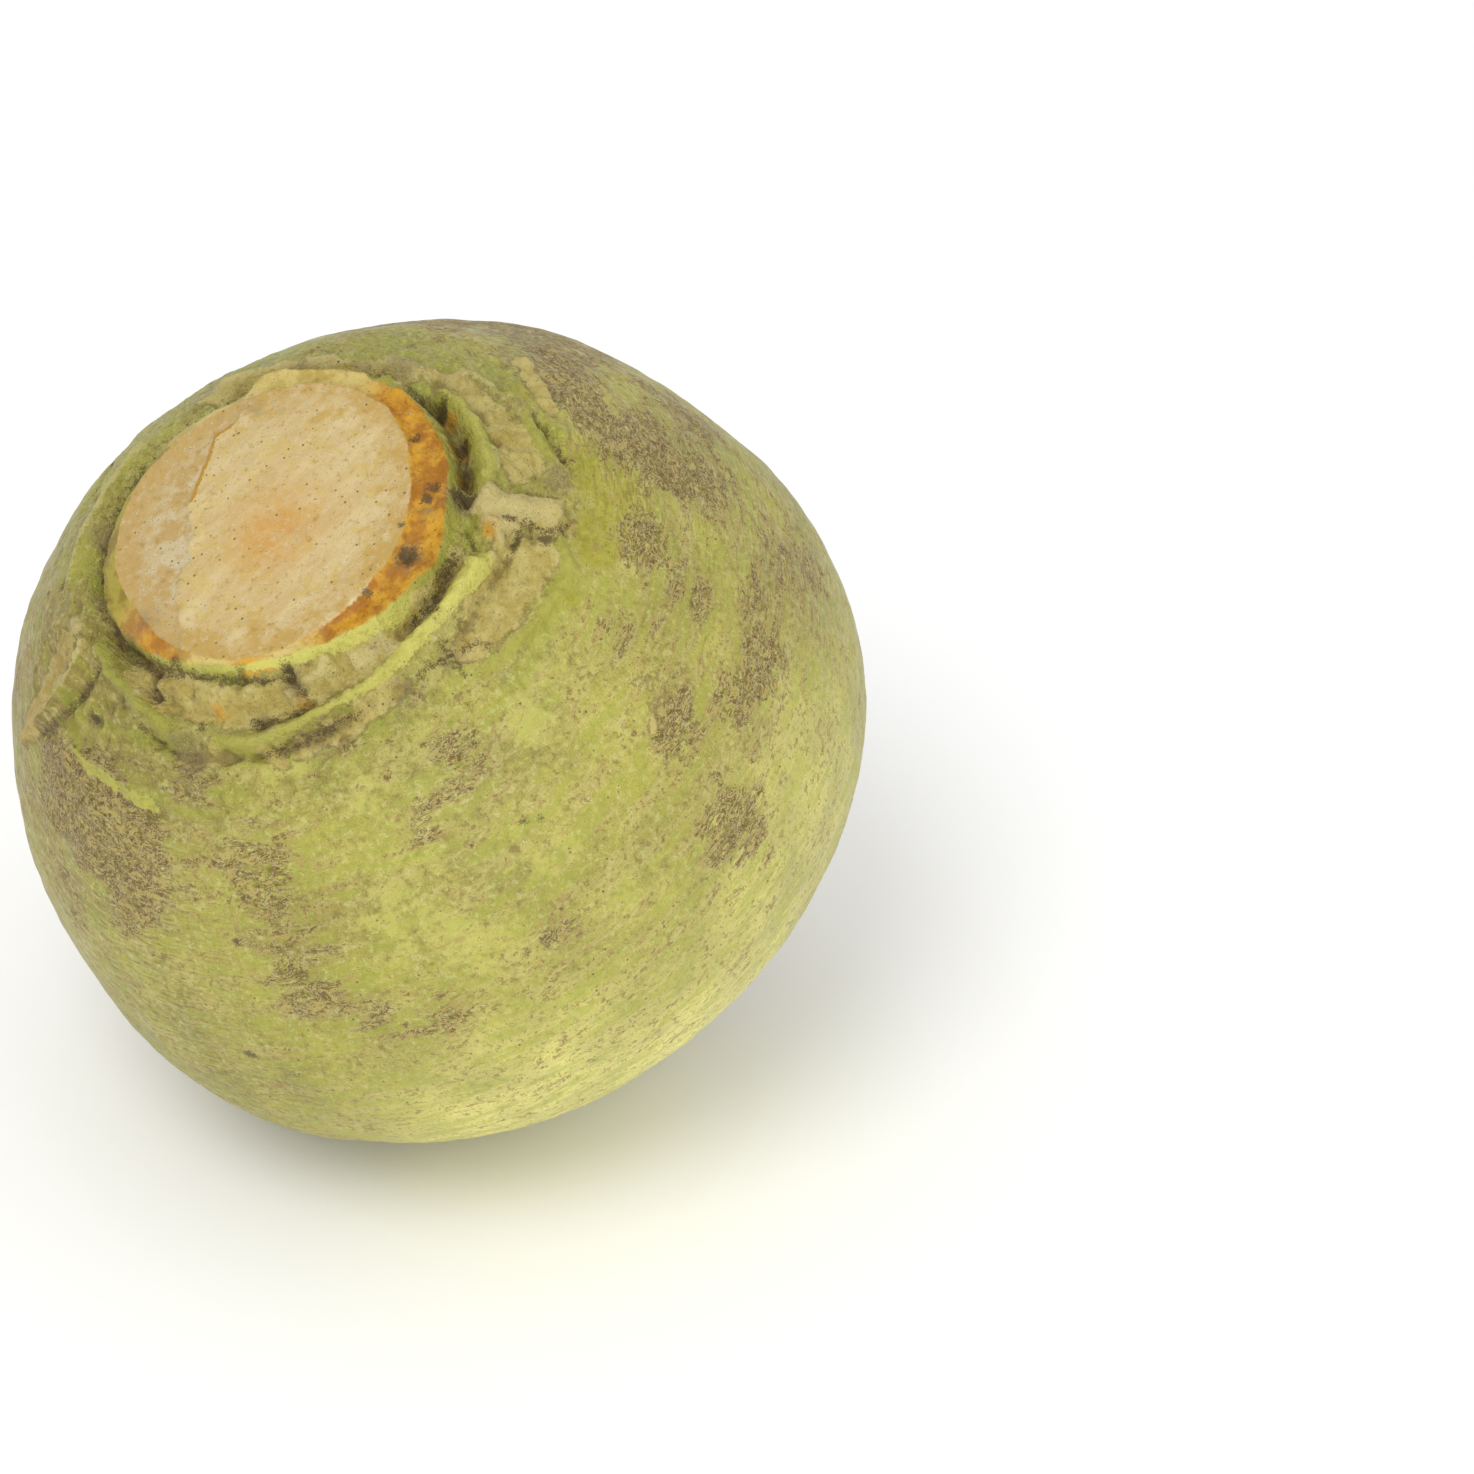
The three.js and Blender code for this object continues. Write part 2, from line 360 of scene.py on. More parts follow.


# Broad colour of the skin, with painted light in it: turn, fall, reach in degrees, weight, colour. The pale
# tones low on the globe are painted light bounced up from the floor; the dark tones of the left flank are
# partly the skin's own brown and partly painted shade.
LIME = (0.325, 0.293, 0.064)
SKIN_TONES_AND_PAINTED_LIGHT = [
    # Partly painted shade: the dark tones of the left flank, partly the skin's own brown.
    (175, 55, 26, 2.0, (0.28, 0.235, 0.050)),
    (203, 45, 16, 1.6, (0.28, 0.225, 0.042)),
    (188, 46, 14, 3.0, (0.17, 0.098, 0.012)),
    (140, 60, 26, 1.5, (0.27, 0.235, 0.062)),
    (100, 50, 24, 1.5, (0.26, 0.245, 0.065)),
    (60, 58, 20, 2.0, (0.32, 0.265, 0.070)),
    (25, 55, 16, 1.2, (0.37, 0.32, 0.062)),
    (300, 84, 26, 0.8, (0.325, 0.293, 0.060)),
    # Painted light: the next three pale tones brighten the lower edge as if lit by the floor's bounce.
    (285, 105, 20, 1.6, (0.60, 0.56, 0.165)),
    (285, 122, 22, 4.0, (0.85, 0.80, 0.27)),
    (330, 95, 18, 1.4, (0.60, 0.56, 0.175)),
    (325, 66, 12, 1.0, (0.37, 0.32, 0.07)),
    (257, 50, 12, 0.8, (0.31, 0.27, 0.055)),
    (240, 85, 20, 1.2, (0.28, 0.25, 0.045)),
    (5, 80, 16, 1.2, (0.35, 0.30, 0.055)),
    (45, 38, 9, 1.5, (0.28, 0.27, 0.075)),
    (90, 110, 50, 0.6, (0.38, 0.34, 0.09)),
]


# Pink blush in the middle of the cut face: turn, fall, reach in mm.
BLUSH = (300, 3, 6.5)

# The studio, in metres and watts.
FLOOR_HALF_WIDTH = 3.0
FLOOR_GREY = 0.93
FLOOR_ROUGHNESS = 0.9
FLOOR_SPECULAR = 0.1
SKY_STRENGTH = 0.92
LOOK_AT = (0, 0, 0.055)
LIGHTS = [  # name, place, size, energy
    ("key", (-0.25, -0.6, 1.0), 0.6, 4.5),
    ("fill", (0.45, -1.1, 0.14), 0.6, 3.7),
]

# The camera: degrees above level, then mm from the globe's own origin, then the lens in mm.
CAMERA_ELEVATION = 35.0
CAMERA_DISTANCE = 650.0
CAMERA_ACROSS = 42.41
CAMERA_UP = -0.71
LENS = 111.9
SENSOR_WIDTH = 36
NEAREST_SEEN = 0.05
FURTHEST_SEEN = 20


def to_xyz(turn, fall):
    """The unit direction of a place, or of arrays of places."""
    turn, fall = np.radians(turn), np.radians(fall)
    across = np.sin(fall)
    return np.stack([across * np.cos(turn), across * np.sin(turn), np.cos(fall) + 0 * turn], -1)


def smoothstep(x, low, high):
    t = np.clip((x - low) / (high - low), 0, 1)
    return t * t * (3 - 2 * t)


# ---------------------------------------------------------------- the mesh


def geodesic_sphere(steps):
    """An icosahedron whose faces are cut into steps x steps triangles, pushed out to radius 1."""
    golden = (1 + math.sqrt(5)) / 2
    corners = []
    for a in (-1, 1):
        for b in (-golden, golden):
            corners += [(0, a, b), (a, b, 0), (b, 0, a)]
    corners = np.array(corners, float)
    edge = 2.0
    count = len(corners)
    gap = np.linalg.norm(corners[:, None] - corners[None], axis=2)
    close = np.abs(gap - edge) < 1e-6
    points, faces = [], []
    grid = [(i, j) for i in range(steps + 1) for j in range(steps + 1 - i)]
    number = {ij: n for n, ij in enumerate(grid)}
    share = np.array([(steps - i - j, i, j) for i, j in grid], float) / steps
    cells = []
    for i, j in grid:
        if i + j < steps:
            cells.append((number[i, j], number[i + 1, j], number[i, j + 1]))
        if i + j < steps - 1:
            cells.append((number[i + 1, j], number[i + 1, j + 1], number[i, j + 1]))
    cells = np.array(cells)
    for a in range(count):
        for b in range(a + 1, count):
            for c in range(b + 1, count):
                if close[a, b] and close[b, c] and close[a, c]:
                    trio = corners[[a, b, c]]
                    if np.linalg.det(trio) < 0:
                        trio = trio[[0, 2, 1]]
                    faces.append(cells + len(points) * len(grid))
                    points.append(share @ trio)
    points = np.concatenate(points)
    points /= np.linalg.norm(points, axis=1)[:, None]
    keys = np.round(points * 1e5).astype(np.int64)
    _, first, again = np.unique(keys, axis=0, return_index=True, return_inverse=True)
    return points[first], again.reshape(-1)[np.concatenate(faces)]


def drawn_to_crown(points):
    """Closes the sphere's points up round the crown, keeping every small triangle's shape."""
    across = np.hypot(points[:, 0], points[:, 1])
    half = np.arctan2(across, points[:, 2]) / 2
    fall = 2 * np.arctan(CROWN_DENSITY * np.tan(half))
    scale = np.sin(fall) / np.maximum(across, 1e-9)
    return np.stack([points[:, 0] * scale, points[:, 1] * scale, np.cos(fall)], 1)


def smooth_line(line, steps=6):
    """A smooth curve over the sphere through the (turn, fall) points of line, as unit directions."""
    ends = [line[0], *line, line[-1]]
    p = to_xyz(np.array([q[0] for q in ends], float), np.array([q[1] for q in ends], float))
    out = []
    for i in range(1, len(p) - 2):
        for s in range(steps):
            t = s / steps
            out.append(
                0.5
                * (
                    2 * p[i]
                    + (p[i + 1] - p[i - 1]) * t
                    + (2 * p[i - 1] - 5 * p[i] + 4 * p[i + 1] - p[i + 2]) * t * t
                    + (3 * p[i] - p[i - 1] - 3 * p[i + 1] + p[i + 2]) * t**3
                )
            )
    out.append(p[-2])
    out = np.array(out)
    return out / np.linalg.norm(out, axis=1)[:, None]


class Surface:
    """The sphere's points with what later steps ask of them: places, and distances from lines."""

    def __init__(self, points):
        self.dirs = points
        self.turn = np.degrees(np.arctan2(points[:, 1], points[:, 0])) % 360
        self.fall = np.degrees(np.arccos(np.clip(points[:, 2], -1, 1)))

    def from_line(self, line):
        """Distance in mm from a line, and how far along it, 0 to 1. Far points get a large one."""
        curve = smooth_line(line)
        middle = curve.mean(0)
        span = np.linalg.norm(curve - middle, axis=1).max() + 0.12
        near = np.flatnonzero(np.linalg.norm(self.dirs - middle, axis=1) < span)
        far = np.full(len(self.dirs), 99.0)
        along = np.zeros(len(self.dirs))
        points = self.dirs[near]
        best = np.full(len(near), 99.0)
        share = np.zeros(len(near))
        pieces = len(curve) - 1
        for i in range(pieces):
            a, b = curve[i], curve[i + 1]
            ab = b - a
            t = np.clip((points - a) @ ab / max(ab @ ab, 1e-12), 0, 1)
            gap = np.linalg.norm(points - a - t[:, None] * ab, axis=1) * GIRTH_RADIUS
            closer = gap < best
            best = np.where(closer, gap, best)
            share = np.where(closer, (i + t) / pieces, share)
        far[near] = best
        along[near] = share
        return far, along

    def from_place(self, turn, fall):
        """Distance in mm from a place, measured straight."""
        return np.linalg.norm(self.dirs - to_xyz(turn, fall), axis=1) * GIRTH_RADIUS


def noise_at(points, scale, octaves=3, seed=0.0):
    """Perlin noise about 0, over features of about scale mm."""
    shift = Vector((seed * 17.3, seed * 5.1, seed * 9.7))
    out = np.empty(len(points))
    for i, p in enumerate(points / scale):
        out[i] = noise.fractal(Vector(p) + shift, 0.6, 2.0, octaves)
    return out


def taper(share, ends=0.12):
    return smoothstep(share, 0, ends) * (1 - smoothstep(share, 1 - ends, 1))


# ---------------------------------------------------------------- the shape


def neck_outline(turn):
    """The five numbers of NECK_OUTLINE at every point's turn, joined smoothly all round."""
    rows = np.array(NECK_OUTLINE, float)
    turns = np.concatenate([rows[:, 0] - 360, rows[:, 0], rows[:, 0] + 360])
    found = []
    fine = np.arange(0, 360, 3.0)
    for column in range(1, rows.shape[1]):
        values = np.interp(fine, turns, np.tile(rows[:, column], 3))
        rounded = sum(np.roll(values, k) for k in range(-3, 4)) / 7
        found.append(np.interp(turn, np.append(fine, 360), np.append(rounded, rounded[0])))
    return found


def ledge_side(x, y):
    """How far left of the peeled flap's torn edge a point of the cut face is, in mm."""
    edge_y = [-14.6, -9.2, -4.7, -3.5, -1.0, 1.1, 5.0, 5.8, 13.4, 16.3, 18.1]
    edge_x = [-12.2, -13.1, -12.3, -10.8, -11.3, -10.5, -11.3, -11.3, -8.0, -7.2, -3.5]
    return np.interp(y, edge_y, edge_x) - x


def shape_globe(surface):
    """Own-axes positions in mm of every point, and the numbers the paint needs."""
    dirs = surface.dirs
    scale = np.ones(len(dirs))
    for turn, fall, height, reach in SWELLS:
        angle = np.degrees(np.arccos(np.clip(dirs @ to_xyz(turn, fall), -1, 1)))
        scale += height / HALF_HEIGHT * np.exp(-((angle / reach) ** 2))
    size = np.array([GIRTH_RADIUS, GIRTH_RADIUS, HALF_HEIGHT])
    points = dirs * size * scale[:, None]
    radius = np.hypot(points[:, 0], points[:, 1])
    upper = dirs[:, 2] > 0
    rise = SHOULDER["rise"] * (1 - smoothstep(radius, SHOULDER["inner"], SHOULDER["outer"]))
    points[:, 2] += np.where(upper, rise, 0)

    wobble = noise_at(dirs * GIRTH_RADIUS, 7.0, 3, 1.0)
    edge, rim, rim_height, foot, foot_height = neck_outline(surface.turn)
    edge = edge + 0.35 * wobble
    rim = np.maximum(rim + 0.5 * wobble, edge + 0.4)
    outside = points[:, 2]
    slope = np.clip((radius - edge) / (rim - edge), 0, 1)
    fall_away = np.clip((radius - rim) / (foot - rim), 0, 1)
    blend = smoothstep(radius, foot, foot + NECK_BLEND)
    facet = DISC_HEIGHT - 0.25 + (rim_height - DISC_HEIGHT + 0.25) * slope
    wall = rim_height + (foot_height - rim_height) * fall_away
    height = np.where(radius < edge, DISC_HEIGHT, np.where(radius < rim, facet, wall))
    height = height + (outside - height) * blend
    points[:, 2] = np.where(upper & (radius < foot + NECK_BLEND), height, points[:, 2])

    end = smoothstep(radius, ROOT["top"], ROOT["foot"])
    lower = -ROOT["height"] + (points[:, 2] + ROOT["height"]) * end
    points[:, 2] = np.where(upper, points[:, 2], lower)

    face = upper & (radius < edge)
    side = ledge_side(points[:, 0], points[:, 1])
    points[:, 2] -= np.where(face, 0.35 * smoothstep(side, -0.2, 0.5), 0)

    normals = points / size**2
    normals /= np.linalg.norm(normals, axis=1)[:, None]
    lift = np.zeros(len(points))
    for height, width, line in RIDGES:
        gap, share = surface.from_line(line)
        lift += height * np.exp(-((gap / width) ** 2)) * taper(share)
    for depth, width, line in GROOVES:
        gap, share = surface.from_line(line)
        lift -= depth * np.exp(-((gap / width) ** 2)) * taper(share)
    height, width, line = FINGER
    gap, share = surface.from_line(line)
    lift += height * np.sqrt(np.clip(1 - (gap / width) ** 2, 0, 1)) * taper(share, 0.08)
    open_side = turn_between(surface.turn, 286, 48)
    lift += 0.6 * open_side * upper * np.exp(-(((radius - rim + 0.2) / 0.7) ** 2))
    lift -= 0.6 * open_side * upper * np.exp(-(((radius - edge - 1.0) / 0.8) ** 2))
    for turn, fall, depth, width in PITS:
        lift -= depth * np.exp(-((surface.from_place(turn, fall) / width) ** 2))

    ring = smoothstep(radius, 22.5, 25) * (1 - smoothstep(surface.fall, 38, 50))
    lumps = noise_at(points, 26.0, 2, 2.0)
    dents = noise_at(points, 8.0, 3, 3.0)
    cork = noise_at(points, 3.2, 4, 4.0)
    crumbs = noise_at(points, 1.3, 2, 5.0)
    off_face = np.where(face, 0.0, 1.0)
    ring = ring * (1 - 0.7 * turn_between(surface.turn, 85, 180, 12))
    lift += off_face * (0.45 * lumps + 0.20 * dents) + ring * (0.75 * cork + 0.35 * crumbs)
    lift += np.where(face, 0.06 * dents, 0)
    points += normals * lift[:, None]
    return points, {
        "lift": lift,
        "radius": radius,
        "edge": edge,
        "rim": rim,
        "foot": foot,
        "side": side,
        "upper": upper,
        "cork": cork,
    }


def press_flat(points, down):
    """Presses the outermost FLAT_DEPTH mm on the side that down points to into a flat spot."""
    reach = points @ down
    over = np.maximum(reach - (reach.max() - FLAT_DEPTH), 0)
    return points - over[:, None] * down


# ---------------------------------------------------------------- the paint


def line_mask(surface, lines, soft, first_width=0):
    """Highest of soft-edged bands along lines: 0.5 on a band's edge, 1 well inside it."""
    mask = np.zeros(len(surface.dirs))
    for entry in lines:
        start, end, line = entry[first_width:]
        gap, share = surface.from_line(line)
        half = (start + (end - start) * share) * (0.55 + 0.45 * taper(share, 0.1))
        mask = np.maximum(mask, np.clip(0.5 + (half - gap) / (2 * soft), 0, 1))
    return mask


def spot_mask(surface, spots, soft):
    mask = np.zeros(len(surface.dirs))
    for turn, fall, size in spots:
        gap = surface.from_place(turn, fall)
        mask = np.maximum(mask, np.clip(0.5 + (size - gap) / (2 * soft), 0, 1))
    return mask


def patch_mask(surface, patches):
    """Sum of round soft patches, kept at 1 or less."""
    mask = np.zeros(len(surface.dirs))
    for turn, fall, reach, weight in patches:
        mask += weight * np.exp(-((surface.from_place(turn, fall) / reach) ** 2))
    return np.clip(mask, 0, 1)


def turn_between(turn, start, end, soft=8.0):
    """1 where a turn lies between start and end, going up from start, with soft ends."""
    span = (end - start) % 360
    past = (turn - start) % 360
    past = np.where(past > span + (360 - span) / 2, past - 360, past)
    return smoothstep(past, -soft, soft) * (1 - smoothstep(past, span - soft, span + soft))


def paint_masks(surface, points, facts):
    """Every mask the material reads, by attribute name."""
    radius, edge, rim, foot = (facts[k] for k in ("radius", "edge", "rim", "foot"))
    turn, upper = surface.turn, facts["upper"]
    masks = {}
    masks["ring"] = smoothstep(radius, 23, 26) * (1 - smoothstep(surface.fall, 33, 44)) * upper
    masks["face"] = np.where(upper, np.clip(0.5 + (edge - radius) / 1.6, 0, 1), 0)
    inside = np.minimum(radius - edge + 0.3, rim - radius)
    masks["facet"] = np.where(upper, np.clip(0.5 + inside / 1.2, 0, 1), 0)
    orange = np.maximum(turn_between(turn, 286, 48), turn_between(turn, 204, 236))
    orange = np.maximum(orange, np.exp(-((surface.from_place(263, 22.6) / 2.2) ** 2)))
    masks["orange"] = orange
    masks["mustard"] = turn_between(turn, 128, 204)
    masks["face_edge"] = np.where(upper, smoothstep(radius, 12, 22), 0)
    masks["peel"] = np.clip(0.5 + facts["side"] / 1.5, 0, 1)
    crack = [(101, 17.8), (108, 17.2), (114, 17.2), (121, 15.1), (132, 13.4), (146, 12.2), (153, 12.2)]
    gap, share = surface.from_line(crack)
    masks["crack"] = np.clip(1 - gap / 2, 0, 1) * taper(share, 0.1)
    masks["green"] = line_mask(surface, GREEN_LINES, 0.8, 1)
    yellow = np.zeros(len(turn))
    weight = np.full(len(turn), 1e-6)
    for pale, _, _, line in GREEN_LINES:
        gap, _ = surface.from_line(line)
        w = np.exp(-((gap / 1.5) ** 2))
        yellow += pale * w
        weight += w
    masks["yellow"] = yellow / weight
    masks["tan"] = line_mask(surface, TAN_LINES, 1.5)
    # Near-black lines and spots: partly their own dark, partly painted shade in the grooves and pits.
    masks["dark"] = np.maximum(line_mask(surface, DARK_LINES_AND_GROOVE_SHADE, 0.8), spot_mask(surface, DARK_SPOTS_AND_PIT_SHADE, 0.7))
    lift = facts["lift"]
    # Painted shade: the ring's low places, where its relief sinks, are darkened as if shaded.
    masks["painted_hollow_shade"] = smoothstep(-lift, 0.2, 1.3) * masks["ring"]
    # Painted highlight: the ring's raised places are lightened as if lit.
    masks["painted_crest_light"] = smoothstep(lift, 0.5, 1.7) * masks["ring"]
    masks["dirt"] = patch_mask(surface, DIRT_PATCHES)
    masks["amber"] = patch_mask(surface, AMBER_PATCHES)
    masks["pale"] = patch_mask(surface, PALE_PATCHES)
    masks["scurf"] = patch_mask(surface, SCURF_PATCHES)
    masks["fresh"] = patch_mask(surface, FRESH_PATCHES)
    streak = np.maximum(turn_between(turn, 355, 110, 12), turn_between(turn, 125, 245, 14))
    masks["streak"] = streak * smoothstep(surface.fall, 34, 48)
    masks["root"] = np.where(upper, 0, 1 - smoothstep(radius, 5.5, 9))
    return masks


def tone_and_painted_light(surface):
    """The skin's broad colour at every point, with painted floor bounce low down and partly painted shade on
    the left flank: a weighted mean of the tones over plain lime.
    """
    total = np.full(len(surface.dirs), 0.6)
    colour = np.array(LIME) * total[:, None]
    for turn, fall, reach, weight, rgb in SKIN_TONES_AND_PAINTED_LIGHT:
        angle = np.degrees(np.arccos(np.clip(surface.dirs @ to_xyz(turn, fall), -1, 1)))
        w = weight * np.exp(-((angle / reach) ** 2))
        total += w
        colour += w[:, None] * np.array(rgb)
    return colour / total[:, None]


# ---------------------------------------------------------------- the material


class Graph:
    """Short names for the shader nodes this material uses."""

    def __init__(self, tree):
        self.tree = tree

    def node(self, kind, **settings):
        made = self.tree.nodes.new(kind)
        for key, value in settings.items():
            setattr(made, key, value)
        return made

    def put(self, socket, value):
        if isinstance(value, bpy.types.NodeSocket):
            self.tree.links.new(value, socket)
        elif isinstance(value, tuple) and len(value) == 3 and socket.type == "RGBA":
            socket.default_value = (*value, 1)
        else:
            socket.default_value = value

    def mask(self, name):
        return self.node("ShaderNodeAttribute", attribute_name=name).outputs["Fac"]

    def vector(self, name):
        return self.node("ShaderNodeAttribute", attribute_name=name).outputs["Vector"]

    def colour(self, name):
        return self.node("ShaderNodeAttribute", attribute_name=name).outputs["Color"]

    def scaled(self, vector, by):
        made = self.node("ShaderNodeMapping", vector_type="POINT")
        self.put(made.inputs["Vector"], vector)
        made.inputs["Scale"].default_value = by
        return made.outputs["Vector"]

    def turned(self, vector, angle):
        """The vector turned about the crown's axis, in radians."""
        made = self.node("ShaderNodeMapping", vector_type="POINT")
        self.put(made.inputs["Vector"], vector)
        made.inputs["Rotation"].default_value = (0, 0, angle)
        return made.outputs["Vector"]

    def moved(self, vector, by):
        made = self.node("ShaderNodeMapping", vector_type="POINT")
        self.put(made.inputs["Vector"], vector)
        made.inputs["Location"].default_value = by
        return made.outputs["Vector"]

    def noise(self, vector, scale, detail=3.0, rough=0.5, distortion=0.0):
        made = self.node("ShaderNodeTexNoise")
        self.put(made.inputs["Vector"], vector)
        self.put(made.inputs["Scale"], scale)
        self.put(made.inputs["Detail"], detail)
        self.put(made.inputs["Roughness"], rough)
        self.put(made.inputs["Distortion"], distortion)
        return made.outputs["Fac"]

    def cells(self, vector, scale):
        made = self.node("ShaderNodeTexVoronoi")
        self.put(made.inputs["Vector"], vector)
        self.put(made.inputs["Scale"], scale)
        return made.outputs["Distance"], made.outputs["Color"]

    def math(self, operation, a, b=0.5):
        made = self.node("ShaderNodeMath", operation=operation)
        self.put(made.inputs[0], a)
        self.put(made.inputs[1], b)
        return made.outputs[0]

    def step(self, value, low, high, out_low=0.0, out_high=1.0):
        made = self.node("ShaderNodeMapRange", interpolation_type="SMOOTHSTEP")
        self.put(made.inputs["Value"], value)
        self.put(made.inputs["From Min"], low)
        self.put(made.inputs["From Max"], high)
        self.put(made.inputs["To Min"], out_low)
        self.put(made.inputs["To Max"], out_high)
        return made.outputs["Result"]

    def mix(self, share, a, b, blend="MIX"):
        made = self.node("ShaderNodeMix", data_type="RGBA", blend_type=blend)
        self.put(made.inputs["Factor"], share)
        self.put(made.inputs[6], a)
        self.put(made.inputs[7], b)
        return made.outputs[2]

    def times(self, a, b):
        return self.math("MULTIPLY", a, b)

    def plus(self, a, b):
        return self.math("ADD", a, b)

    def ragged(self, mask, wander, amount, edge=0.08):
        """A mask with a torn edge: the mask is shifted by a noise before its edge is cut."""
        shifted = self.plus(mask, self.times(self.plus(wander, -0.5), amount))
        return self.step(shifted, 0.5 - edge, 0.5 + edge)

    def lines(self, value, half, soft):
        """Thin lines where a noise passes through its middle."""
        away = self.math("ABSOLUTE", self.plus(value, -0.5))
        return self.step(away, half, half + soft, 1.0, 0.0)


def skin_material():
    """Skin, scars, facet and cut face in one material, steered by the masks."""
    material = bpy.data.materials.new("kohlrabi_skin")
    material.use_nodes = True
    tree = material.node_tree
    tree.nodes.clear()
    g = Graph(tree)
    place = g.vector("own_place")
    along = g.vector("along_place")

    broad = g.noise(place, 0.09, 1, 0.55)
    patchy = g.noise(place, 0.32, 3, 0.6)
    crumble = g.noise(place, 0.85, 4, 0.72)
    fine = g.noise(place, 1.7, 2, 0.65)
    grain = g.noise(place, 5.0, 1, 0.6)
    flow = g.noise(g.scaled(along, (0.10, 0.10, 0.40)), 1.0, 3, 0.6)
    fibre = g.noise(g.scaled(along, (0.35, 0.35, 2.4)), 1.0, 2, 0.65)
    net = g.noise(g.scaled(along, (0.27, 0.27, 0.62)), 1.0, 3, 0.62, 1.5)

    # Plain skin: lime with soft clouds, paler flecks and darker grain.
    # The broad tone carries painted floor bounce low down and partly painted shade on the left flank.
    skin = g.colour("tone_and_painted_light")
    for value, low, high, dark_end, light_end in (
        (broad, 0.3, 0.7, 0.88, 1.12),
        (patchy, 0.34, 0.66, 0.94, 1.08),
        (crumble, 0.32, 0.68, 0.90, 1.12),
        (grain, 0.30, 0.70, 0.86, 1.14),
    ):
        skin = g.mix(1.0, skin, g.step(value, low, high, dark_end, light_end), "MULTIPLY")
    skin = g.mix(g.times(g.step(flow, 0.51, 0.40), 0.45), skin, (0.31, 0.335, 0.035))
    skin = g.mix(g.times(g.step(flow, 0.53, 0.62), 0.30), skin, (0.50, 0.44, 0.15))
    skin = g.mix(g.times(g.step(crumble, 0.55, 0.64), 0.40), skin, (0.58, 0.54, 0.22))
    skin = g.mix(g.times(g.step(crumble, 0.41, 0.33), 0.32), skin, (0.19, 0.15, 0.03))

    flecks = g.noise(g.moved(place, (3.0, 8.0, 5.0)), 1.05, 2, 0.62)
    brown_flecks = g.step(g.plus(flecks, g.times(g.mask("scurf"), 0.06)), 0.585, 0.615)
    brown_flecks = g.times(brown_flecks, g.step(flow, 0.42, 0.56, 0.12, 0.62))
    skin = g.mix(brown_flecks, skin, (0.19, 0.13, 0.03))
    skin = g.mix(g.times(g.step(flecks, 0.40, 0.35), 0.40), skin, (0.52, 0.49, 0.20))
    # Fresh patches, where the outer skin has come away.
    soft_wander = g.plus(g.times(patchy, 0.6), g.times(crumble, 0.4))
    fresh = g.ragged(g.mask("fresh"), soft_wander, 2.6, 0.20)
    fresh_colour = g.mix(g.step(crumble, 0.4, 0.6), (0.27, 0.245, 0.016), (0.34, 0.32, 0.030))
    skin = g.mix(g.times(fresh, 0.8), skin, fresh_colour)
    pale = g.ragged(g.mask("pale"), soft_wander, 3.0, 0.30)
    skin = g.mix(g.times(pale, 0.6), skin, (0.46, 0.44, 0.10))

    # Streaks along the rings, where dry skin has stretched.
    streak = g.mask("streak")
    light_streak = g.times(g.times(g.step(fibre, 0.55, 0.66), streak), 0.5)
    dark_streak = g.times(g.times(g.step(fibre, 0.45, 0.35), streak), 0.6)
    skin = g.mix(light_streak, skin, (0.48, 0.43, 0.20))
    skin = g.mix(dark_streak, skin, (0.16, 0.115, 0.03))

    # Scurf: a brown broken net, thick in patches and thin all over.
    amount = g.plus(g.mask("scurf"), g.times(g.step(flow, 0.42, 0.72), 0.45))
    amount = g.plus(amount, g.times(g.plus(soft_wander, -0.5), 2.4))
    scurf_edge = g.plus(g.plus(g.times(net, 0.6), g.times(crumble, 0.4)), g.times(amount, 0.17))
    scurf = g.step(scurf_edge, 0.58, 0.66)
    scurf_colour = g.mix(g.step(crumble, 0.38, 0.60), (0.14, 0.082, 0.017), (0.35, 0.25, 0.065))
    skin = g.mix(g.times(scurf, 0.62), skin, scurf_colour)
    scratches = g.times(g.lines(net, 0.028, 0.018), g.step(amount, 0.36, 0.75))
    skin = g.mix(g.times(scratches, 0.85), skin, (0.105, 0.058, 0.014))
    twigs = g.times(g.lines(g.plus(net, 0.09), 0.020, 0.015), g.step(amount, 0.45, 0.9))
    skin = g.mix(g.times(twigs, 0.75), skin, (0.085, 0.05, 0.012))
    pale_scratches = g.times(g.lines(crumble, 0.010, 0.020), g.step(amount, 0.15, 0.8))
    skin = g.mix(g.times(pale_scratches, 0.55), skin, (0.50, 0.43, 0.22))

    # The root scar, at the far end from the crown: bare brown cork.
    stub = g.ragged(g.mask("root"), soft_wander, 2.4, 0.25)
    stub_colour = g.mix(g.step(crumble, 0.40, 0.60), (0.15, 0.095, 0.025), (0.40, 0.31, 0.13))
    skin = g.mix(g.times(stub, 0.9), skin, stub_colour)

    # The crown's ring of scars: dry tan cork, dirtier in the hollows, with a painted highlight on its raised
    # crests.
    cork_colour = g.mix(g.step(patchy, 0.38, 0.62), (0.42, 0.30, 0.075), (0.56, 0.45, 0.17))
    cork_colour = g.mix(g.times(g.step(crumble, 0.44, 0.32), 0.60), cork_colour, (0.17, 0.105, 0.025))
    cork_colour = g.mix(g.times(g.step(crumble, 0.55, 0.68), 0.5), cork_colour, (0.56, 0.48, 0.26))
    cork_colour = g.mix(g.times(g.step(grain, 0.42, 0.3), 0.4), cork_colour, (0.20, 0.13, 0.035))
